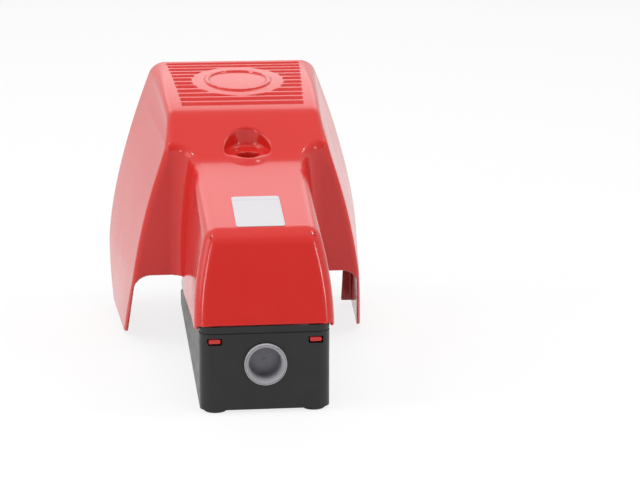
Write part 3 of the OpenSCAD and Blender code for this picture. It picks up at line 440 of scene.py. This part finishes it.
def label_z(y):
    return LABEL_REAR_Z + LABEL_RISE * (y - REAR_LEAN)


def roof_z(y):
    k = (y - TOP_Y) / (FRONT_Y - TOP_Y)
    return mix(ROOF_REAR_Z, ROOF_FRONT_Z, k) + ROOF_BULGE * 4 * k * (1 - k)


def mouth_half(z):
    k = (z - MOUTH_KNEE_Z) / (ROOF_FRONT_Z - MOUTH_KNEE_Z)
    return MOUTH_X - np.where(k > 0, MOUTH_DRAW * np.maximum(k, 0) ** MOUTH_CURVE, MOUTH_TUCK * k * k)


def wing_half(z):
    k = (z - WING_GAP) / (ROOF_REAR_Z - WING_GAP)
    return WING_X - WING_SLANT * k - WING_CURL * k ** 3 + WING_FLARE * np.maximum(k, 0) ** WING_FLARE_CURVE


def wing_wall_y(z):
    """Rear edge of the wing: a slanted tip, then the rear wall."""
    tip = mix(TIP_Y, WALL_FOOT_Y, (z - WING_GAP) / (KNEE_Z - WING_GAP))
    wall = mix(WALL_FOOT_Y, WALL_TOP_Y, (z - KNEE_Z) / (SHOULDER_Z - KNEE_Z))
    gap = tip - wall
    return wall + 0.5 * (gap + np.sqrt(gap * gap + 6.0))


def steep(f, y, z, step=0.5):
    """Length of the gradient that x = f(y, z) has as a surface."""
    fy = (f(y + step, z) - f(y - step, z)) / (2 * step)
    fz = (f(y, z + step) - f(y, z - step)) / (2 * step)
    return np.sqrt(1 + fy * fy + fz * fz)


def wide_half(y, z):
    """Half width of the wide part, ruled from its rear edge to the foot opening."""
    reach = (ROOF_FRONT_Z - 10.5 - WING_GAP) / (ROOF_REAR_Z - 7 - WING_GAP)
    z_rear = z
    for _ in range(3):
        start = np.where(z_rear > SHOULDER_Z, FOOT_Y + (z_rear - LABEL_FRONT_Z) / RISE, wing_wall_y(z_rear))
        k = np.clip((y - start) / (FRONT_Y - start), -0.2, 1)
        z_rear = WING_GAP + (z - WING_GAP) / (1 + (reach - 1) * k)
    z_front = WING_GAP + (z_rear - WING_GAP) * reach
    return mix(wing_half(z_rear), mouth_half(z_front), k)


def narrow_half(y, z):
    """Half width of the rear part, which leans in towards the label surface."""
    top = np.where(y < FOOT_Y, label_z(y), LABEL_FRONT_Z + (y - FOOT_Y) * 0.55)
    top_x = np.interp(y, [REAR_LEAN, FOOT_Y, WALL_TOP_Y + 0.6, SKIRT_END_Y + 7], NARROW_TOP_X)
    full = np.maximum((z - skirt_z(y)) / (top - skirt_z(y)), 0)
    return SKIRT_X - (SKIRT_X - top_x) * full ** SIDE_CURVE


def roof_relief(x, y):
    """How far the roof's surface is lowered by its grooves and raised by its ring."""
    pitch = (GROOVE_LAST_Y - GROOVE_FIRST_Y) / (GROOVES - 1)
    share = (y - GROOVE_FIRST_Y) / pitch
    off = (share - np.clip(np.round(share), 0, GROOVES - 1)) * pitch
    profile = np.clip(1.1 * np.cos(np.clip(off / GROOVE_W, -0.5, 0.5) * math.pi), 0, 1)
    length = mix(GROOVE_REAR_X, GROOVE_FRONT_X, (y - TOP_Y) / (FRONT_Y - TOP_Y))
    from_ring = np.hypot(x, (y - RING_Y) / math.cos(RING_TILT))
    grooves = profile * ramp(length - np.abs(x), 0, 1.2) * ramp(from_ring, DISC_R, DISC_R + 1.2)
    ring = ramp(from_ring, RING_IN - 0.5, RING_IN + 0.5) * ramp(-from_ring, -RING_OUT - 0.5, -RING_OUT + 0.5)
    return GROOVE_DEPTH * grooves - RING_H * ring


def upper_z(y):
    """Profile of the label surface, the slope and the roof, with its corners eased."""
    label, slope, roof = label_z(y), LABEL_FRONT_Z + RISE * (y - FOOT_Y), roof_z(np.maximum(y, TOP_Y - 30))
    gap = slope - label
    low = label + 0.5 * (gap + np.sqrt(gap * gap + 9.0))
    gap = low - roof
    return roof + 0.5 * (gap - np.sqrt(gap * gap + 7.0))


def outer_form(x, y, z):
    """Both parts side by side, cut by the upper surface and the leaning rear wall."""
    narrow = (x - narrow_half(y, z)) / steep(narrow_half, y, z)
    side = (x - wide_half(y, z)) / steep(wide_half, y, z)
    wall_rise = (wing_wall_y(z + 0.5) - wing_wall_y(z - 0.5))
    wall = (wing_wall_y(z) - y) / np.sqrt(1 + wall_rise ** 2)
    form = join(narrow, meet(side, wall, WING_EDGE_R), INNER_FILLET_R)
    upper_rise = upper_z(y + 0.5) - upper_z(y - 0.5)
    upper = (z - upper_z(y) + roof_relief(x, y)) / np.sqrt(1 + upper_rise ** 2)
    edge = 6 - 2.5 * ramp(y, 96, 112) + 1.5 * ramp(y, 132, 150) + 1.5 * ramp(y, 150, FRONT_Y)
    form = meet(form, upper, edge)
    lean = REAR_LEAN / (LABEL_REAR_Z - RIM_Z)
    rear = (np.maximum(z - RIM_Z, 0) * lean - y) / math.hypot(1, lean)
    return meet(form, rear, REAR_EDGE_R)


def inner_solids(form, from_screw, y, z, floor_z):
    """Pocket wall, screw pillar and the lip in the mouth."""
    inside = np.maximum(from_screw - POCKET_R - WALL - 1.5, floor_z - z)
    inside = join(inside, np.maximum(from_screw - BOSS_R, PILLAR_Z - z), 1.5)
    lip = np.maximum(-(form + WALL + LIP_DEPTH), np.abs(y - FRONT_Y + LIP_FROM_FRONT) - LIP_HALF)
    return np.minimum(inside, lip)


def tongues(x, y, z):
    """Ends of the skirt that reach forward beside the tray."""
    top = mix(TUNNEL_Z + 3, skirt_z(SKIRT_END_Y) + 5, (y - WALL_FOOT_Y) / (SKIRT_END_Y - WALL_FOOT_Y))
    tongue = np.maximum(np.abs(x - SKIRT_X + 1) - 1, np.maximum(z - top, y - SKIRT_END_Y))
    return np.maximum(tongue, WALL_FOOT_Y - 3 - y)


def trimmed(metal_part, x, y, z):
    """The casting without the room for the tray, between the legs, past the mouth and below the legs."""
    leg = (x - mix(wing_half(WING_GAP) - LEG_INSET, wing_half(24.0) - LEG_INSET, (z + 1) / 25)) / 1.006
    tunnel = meet(leg, z - TUNNEL_Z, 9.0)
    tunnel = np.maximum(tunnel, y - TIP_Y - 10)
    low_cut = np.maximum(np.maximum(z - skirt_z(y), x - 59.8), y - SKIRT_END_Y - 6)
    beside = np.maximum(tunnel, SKIRT_X - 0.3 - x)
    metal_part = meet(metal_part, -np.minimum(low_cut, beside), TRIM_R)
    rear_cut = np.maximum(np.maximum(x - SKIRT_X + WALL, z - RIM_Z - 0.15), y - 7)
    metal_part = meet(metal_part, -rear_cut, TRIM_R)
    metal_part = meet(metal_part, y - FRONT_Y, MOUTH_EDGE_R)
    return meet(metal_part, WING_GAP - z, MOUTH_EDGE_R)


def pocketed(metal_part, from_screw, x, y, z, floor_z):
    """The casting with its screw pocket, the mound in the pocket, the hole and the screw's bore."""
    over = z - label_z(SCREW_Y) - MOUND_H - (y - SCREW_Y) * MOUND_RISE
    mound = meet(from_screw - MOUND_R, over, 3.0)
    metal_part = join(metal_part, np.maximum(mound, floor_z + 2 - z), 3.0)
    behind, ahead_of = np.maximum(y - SCREW_Y, 0), np.minimum(y - SCREW_Y, 0)
    arch = np.hypot(x, behind * POCKET_STRETCH + POCKET_RUNOUT * ahead_of)
    metal_part = meet(metal_part, -meet(arch - POCKET_R, -over, 2.5), 1.0)
    metal_part = meet(metal_part, -np.maximum(from_screw - HOLE_R, SEAT_Z - z), 0.6)
    return np.maximum(metal_part, BORE_R - from_screw)


def hooks(x, y, z):
    """Two hooks that reach into the tray's rear wall: arm, bridge to the hood's wall, and tab."""
    from_hook = np.abs(x - HOOK_X) - HOOK_HALF
    arm = np.maximum(np.maximum(from_hook, np.abs(y - 4.5) - 1.2), np.abs(z - 48.5) - 9)
    bridge = np.maximum(np.maximum(from_hook, np.abs(y - 3.9) - 1.8), np.abs(z - 54) - 2.5)
    tab = np.maximum(np.maximum(from_hook, np.abs(y - 2.45) - 1.65), np.abs(z - HOOK_Z) - 1.55)
    return np.minimum(np.minimum(arm, bridge), tab)


def hood_field(x, y, z):
    """Negative inside the casting, in millimetres."""
    x = np.abs(x)
    form = outer_form(x, y, z)
    from_screw = np.hypot(x, y - SCREW_Y)
    floor_z = label_z(SCREW_Y) - POCKET_R * LABEL_RISE - WALL - 1
    inside = inner_solids(form, from_screw, y, z, floor_z)
    metal_part = meet(join(-(form + WALL), inside, 1.5), form, RIM_EDGE_R)
    metal_part = trimmed(np.minimum(metal_part, tongues(x, y, z)), x, y, z)
    metal_part = pocketed(metal_part, from_screw, x, y, z, floor_z)
    return np.minimum(metal_part, hooks(x, y, z))


def gradient(field, points, step=0.12):
    slopes = []
    for axis in range(3):
        shift = np.zeros(3)
        shift[axis] = step
        ahead_of, behind = points + shift, points - shift
        slopes.append((field(*ahead_of.T) - field(*behind.T)) / (2 * step))
    return np.stack(slopes, axis=1)


def settle(field, points, limit, rounds=3):
    """Moves points onto the zero surface of the field."""
    for _ in range(rounds):
        slope = gradient(field, points)
        move = field(*points.T)[:, None] * slope / np.maximum((slope ** 2).sum(1), 0.2)[:, None]
        points = points - np.clip(move, -limit, limit)
    return points


def surface_net(values, xs, ys, zs):
    """Vertices and quads of the zero surface on a grid with its own spacing on each axis."""
    inside = values < 0
    count = np.zeros(tuple(n - 1 for n in values.shape), np.uint8)
    corners = [(a, b, c) for a in (0, 1) for b in (0, 1) for c in (0, 1)]
    for a, b, c in corners:
        count += inside[a:a + count.shape[0], b:b + count.shape[1], c:c + count.shape[2]]
    cells = np.argwhere((count > 0) & (count < 8))
    number = np.full(count.shape, -1, np.int64)
    number[tuple(cells.T)] = np.arange(len(cells))
    axes = (xs, ys, zs)
    total, hits = np.zeros((len(cells), 3)), np.zeros(len(cells))
    for corner in corners:
        for axis in range(3):
            if corner[axis]:
                continue
            other = list(corner)
            other[axis] = 1
            a = values[tuple((cells + corner).T)]
            b = values[tuple((cells + other).T)]
            cross = (a < 0) != (b < 0)
            share = np.where(cross, a / np.where(a == b, 1, a - b), 0)
            for i in range(3):
                start = axes[i][cells[:, i] + corner[i]]
                end = axes[i][cells[:, i] + other[i]]
                total[:, i] += np.where(cross, start + (end - start) * share, 0)
            hits += cross
    points = total / hits[:, None]
    quads = []
    for axis in range(3):
        u, v = [i for i in range(3) if i != axis]
        first = [slice(1, -1)] * 3
        first[axis] = slice(0, -1)
        second = list(first)
        second[axis] = slice(1, None)
        change = inside[tuple(first)] != inside[tuple(second)]
        at = np.argwhere(change)
        at[:, u] += 1
        at[:, v] += 1
        out = inside[tuple(at.T)]
        ring = []
        for du, dv in ((-1, -1), (0, -1), (0, 0), (-1, 0)):
            cell = at.copy()
            cell[:, u] += du
            cell[:, v] += dv
            ring.append(number[tuple(cell.T)])
        ring = np.stack(ring, axis=1)
        flip = out if axis != 1 else ~out
        quads.append(np.where(flip[:, None], ring, ring[:, ::-1]))
    return points, np.concatenate(quads)


def mesh_of(name, points, faces):
    data = bpy.data.meshes.new(name)
    data.vertices.add(len(points))
    data.vertices.foreach_set("co", points.astype(np.float32).ravel())
    size = faces.shape[1]
    data.loops.add(faces.size)
    data.loops.foreach_set("vertex_index", faces.astype(np.int32).ravel())
    data.polygons.add(len(faces))
    data.polygons.foreach_set("loop_start", np.arange(0, faces.size, size, dtype=np.int32))
    data.polygons.foreach_set("use_smooth", np.ones(len(faces), bool))
    data.update(calc_edges=True)
    data.validate()
    return data


KEPT_SHARE = 0.4


def cast_hood(step, fine):
    """The casting's mesh, on a grid of the given step that is fine over the roof's grooves."""
    xs = np.arange(-MOUTH_X - 2 * step, MOUTH_X + 2 * step, step)
    xs = xs - (xs[0] + xs[-1]) / 2
    ys = np.concatenate([np.arange(-2 * step, GROOVE_FIRST_Y - 4, step),
                         np.arange(GROOVE_FIRST_Y - 4, FRONT_Y + 2 * step, fine)])
    zs = np.concatenate([np.arange(WING_GAP - 2 * step, ROOF_REAR_Z - 2, step),
                         np.arange(ROOF_REAR_Z - 2, ROOF_FRONT_Z + 4, fine)])
    half = len(xs) // 2
    values = hood_field(xs[half:, None, None], ys[None, :, None], zs[None, None, :]).astype(np.float32)
    mirror = values[::-1] if len(xs) % 2 == 0 else values[:0:-1]
    values = np.concatenate([mirror, values])
    points, quads = surface_net(values, xs, ys, zs)
    points = settle(hood_field, points, 0.35 * step)
    obj = bpy.data.objects.new("hood_casting", mesh_of("hood_casting", to_frame(points), quads))
    thin = obj.modifiers.new("thin", "DECIMATE")
    thin.ratio = KEPT_SHARE
    baked(obj)
    co = np.empty(len(obj.data.vertices) * 3)
    obj.data.vertices.foreach_get("co", co)
    points = settle(hood_field, from_frame(co.reshape(-1, 3)), 0.3, 1)
    obj.data.vertices.foreach_set("co", to_frame(points).ravel())
    normals = gradient(hood_field, points, 0.2)
    normals /= np.maximum(np.linalg.norm(normals, axis=1), 1e-9)[:, None]
    obj.data.polygons.foreach_set("use_smooth", np.ones(len(obj.data.polygons), bool))
    obj.data.normals_split_custom_set_from_vertices(normals)
    return obj


def to_frame(points):
    return (points + np.array([0, REAR_Y, 0])) / 1000


def from_frame(points):
    return points * 1000 - np.array([0, REAR_Y, 0])


hood = cast_hood(1.2, 0.7)
place_piece(hood, "hood_casting", "hood")


# ------------------------------------------------------ floor and lights
def lit_white(name, level):
    """White that the camera, mirrors and glass see at full strength, and that keeps shadows."""
    material = bpy.data.materials.new(name)
    material.use_nodes = True
    tree = material.node_tree
    tree.nodes.clear()
    path = add(tree, "ShaderNodeLightPath")
    seen = path.outputs["Is Camera Ray"]
    for ray in ("Is Glossy Ray", "Is Transmission Ray"):
        seen = add(tree, "ShaderNodeMath", {0: seen, 1: path.outputs[ray]}, operation="MAXIMUM").outputs[0]
    share = add(tree, "ShaderNodeMath", {0: seen, 1: level}, operation="MULTIPLY").outputs[0]
    matt = add(tree, "ShaderNodeBsdfDiffuse", {"Color": (0.86, 0.86, 0.86, 1)})
    glow = add(tree, "ShaderNodeEmission", {"Color": (1, 1, 1, 1), "Strength": 1.0})
    both = add(tree, "ShaderNodeMixShader", {0: share, 1: matt.outputs[0], 2: glow.outputs[0]})
    out = add(tree, "ShaderNodeOutputMaterial")
    tree.links.new(both.outputs[0], out.inputs["Surface"])
    return material


FLOOR_R = 9
bpy.ops.mesh.primitive_circle_add(vertices=96, radius=FLOOR_R, fill_type="NGON", location=(0, 0, 0))
floor = bpy.context.object
floor.name = "floor"
floor.data.materials.append(lit_white("floor_white", 0.8))

world = bpy.data.worlds.new("studio")
bpy.context.scene.world = world
world.use_nodes = True
tree = world.node_tree
tree.nodes.clear()
path = add(tree, "ShaderNodeLightPath")
place = add(tree, "ShaderNodeTexCoord").outputs["Generated"]
way = add(tree, "ShaderNodeSeparateXYZ", {"Vector": place})
sideways = add(tree, "ShaderNodeMath", {0: way.outputs["X"]}, operation="ABSOLUTE").outputs[0]
level = add(tree, "ShaderNodeMath", {0: way.outputs["Y"], 1: 0.30, 2: 0.42}, operation="MULTIPLY_ADD").outputs[0]
level = add(tree, "ShaderNodeMath", {0: way.outputs["Z"], 1: 0.34, 2: level}, operation="MULTIPLY_ADD").outputs[0]
level = add(tree, "ShaderNodeMath", {0: sideways, 1: 0.45, 2: level}, operation="MULTIPLY_ADD").outputs[0]
level = add(tree, "ShaderNodeClamp", {"Value": level, "Min": 0.2, "Max": 1.0}).outputs[0]
mirror_ray = add(tree, "ShaderNodeMath", {0: path.outputs["Is Glossy Ray"], 1: path.outputs["Is Transmission Ray"]},
                 operation="MAXIMUM").outputs[0]
soft = add(tree, "ShaderNodeBackground", {"Color": (1, 1, 1, 1), "Strength": 0.57})
mirrored = add(tree, "ShaderNodeBackground", {"Color": (1, 1, 1, 1), "Strength": level})
white = add(tree, "ShaderNodeBackground", {"Color": (1, 1, 1, 1), "Strength": 1.0})
first = add(tree, "ShaderNodeMixShader", {0: mirror_ray, 1: soft.outputs[0], 2: mirrored.outputs[0]})
last = add(tree, "ShaderNodeMixShader", {0: path.outputs["Is Camera Ray"], 1: first.outputs[0], 2: white.outputs[0]})
out = add(tree, "ShaderNodeOutputWorld")
tree.links.new(last.outputs[0], out.inputs["Surface"])


def softbox(name, at, aim, size, watts, mirrored=True):
    light = bpy.data.lights.new(name, "AREA")
    light.shape = "RECTANGLE"
    light.size, light.size_y = size
    light.energy = watts
    obj = bpy.data.objects.new(name, light)
    obj.location = at
    obj.visible_glossy = mirrored
    obj.rotation_euler = (Vector(aim) - Vector(at)).to_track_quat("-Z", "Y").to_euler()
    bpy.context.scene.collection.objects.link(obj)


softbox("softbox_top", (0, -0.3, 1.7), (0, 0, 0.1), (1.3, 1.1), 12, mirrored=False)
softbox("softbox_front", (0, 1.6, 1.25), (0, 0, 0.12), (2.0, 1.1), 7)
softbox("softbox_left", (-1.7, -0.3, 0.8), (0, 0, 0.1), (0.9, 1.2), 6)
for side in (-1, 1):
    softbox(f"strip_{side + 2}", (side * 1.0, -1.05, 0.35), (0, 0, 0.1), (0.08, 0.28), 1.8)
    softbox(f"glint_{side + 2}", (side * 0.9, -0.1, 1.5), (0, 0, 0.1), (0.1, 0.2), 2.5)
